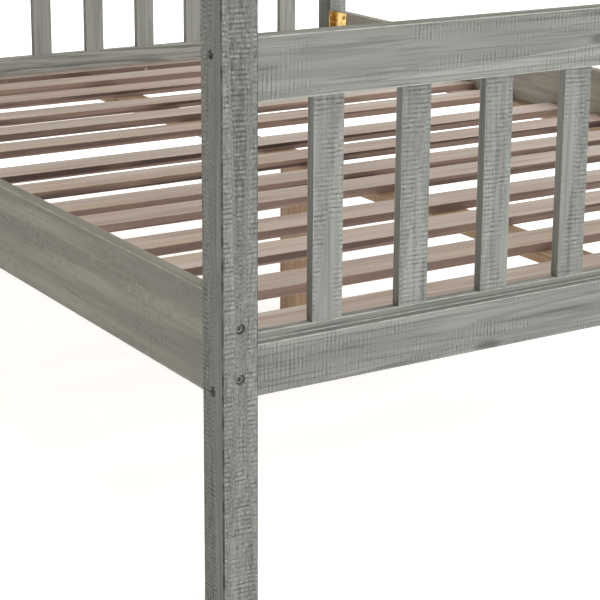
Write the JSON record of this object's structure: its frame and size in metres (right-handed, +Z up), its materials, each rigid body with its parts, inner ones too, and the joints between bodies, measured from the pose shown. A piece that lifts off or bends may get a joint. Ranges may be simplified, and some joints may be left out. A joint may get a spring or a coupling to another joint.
{
  "type": "bunk bed with ladder",
  "caption": "Double-over-double timber bunk bed with slatted end panels and decks, guards on the upper bunk and a hook-on ladder.",
  "frame": {"origin": "on the floor, under the middle of the whole footprint, ladder included", "axes": "+Z up; +Y along the sleeper, from the near end panel to the far one; +X across the bed, away from the ladder"},
  "size_m": [1.497, 2.01, 1.645],
  "materials": {
    "grey_wood": "matt grey wash over rough-sawn timber",
    "raw_slat_wood": "bare sawn timber, pinkish beige",
    "raw_beam_wood": "bare timber, light brown",
    "black_steel": "black, satin",
    "zinc_steel": "bright zinc plate",
    "yellow_zinc": "yellow zinc plate, glossy",
    "black_plastic": "matt",
    "black_rubber": "matt"
  },
  "bodies": {
    "bed": {"lower_post_near_left": "grey_wood", "lower_post_near_right": "grey_wood", "lower_post_far_left": "grey_wood", "lower_post_far_right": "grey_wood", "upper_post_near_left": "grey_wood", "upper_post_near_right": "grey_wood", "upper_post_far_left": "grey_wood", "upper_post_far_right": "grey_wood", "lower_near_top_rail": "grey_wood", "lower_near_bottom_rail": "grey_wood", "lower_near_slats": "grey_wood", "lower_far_top_rail": "grey_wood", "lower_far_bottom_rail": "grey_wood", "lower_far_slats": "grey_wood", "upper_near_top_rail": "grey_wood", "upper_near_bottom_rail": "grey_wood", "upper_near_slats": "grey_wood", "upper_far_top_rail": "grey_wood", "upper_far_bottom_rail": "grey_wood", "upper_far_slats": "grey_wood", "lower_left_side_rail": "grey_wood", "lower_right_side_rail": "grey_wood", "upper_left_side_rail": "grey_wood", "upper_right_side_rail": "grey_wood", "lower_left_ledger": "grey_wood", "lower_right_ledger": "grey_wood", "upper_left_ledger": "grey_wood", "upper_right_ledger": "grey_wood", "lower_centre_beam": "raw_beam_wood", "upper_centre_beam": "raw_beam_wood", "centre_leg": "raw_beam_wood", "beam_hangers": "zinc_steel", "lower_bed_slats": "raw_slat_wood", "upper_bed_slats": "raw_slat_wood", "end_strips": "raw_slat_wood", "guard_back_rail": "grey_wood", "guard_back_slats": "grey_wood", "guard_front_near_rail": "grey_wood", "guard_front_far_rail": "grey_wood", "guard_front_slats": "grey_wood", "guard_stiles": "grey_wood", "foot_glides": "black_plastic", "stacking_pins": "zinc_steel", "frame_bolts": "black_steel", "barrel_nuts": "zinc_steel", "rail_dowels": "raw_beam_wood", "corner_brackets": "yellow_zinc", "bracket_screws": "yellow_zinc", "hanger_screws": "zinc_steel", "deck_screws": "zinc_steel"},
    "ladder": {"ladder_near_stile": "grey_wood", "ladder_far_stile": "grey_wood", "ladder_rung_1": "grey_wood", "ladder_rung_2": "grey_wood", "ladder_rung_3": "grey_wood", "ladder_rung_4": "grey_wood", "ladder_rung_5": "grey_wood", "ladder_hooks": "black_steel", "ladder_feet": "black_rubber", "ladder_bolts": "black_steel"}
  },
  "joints": [
    {"name": "ladder_lift", "type": "slide", "parent": "bed", "child": "ladder", "axis": [0, 0, 1], "range_m": [0, 0.06]}
  ]
}
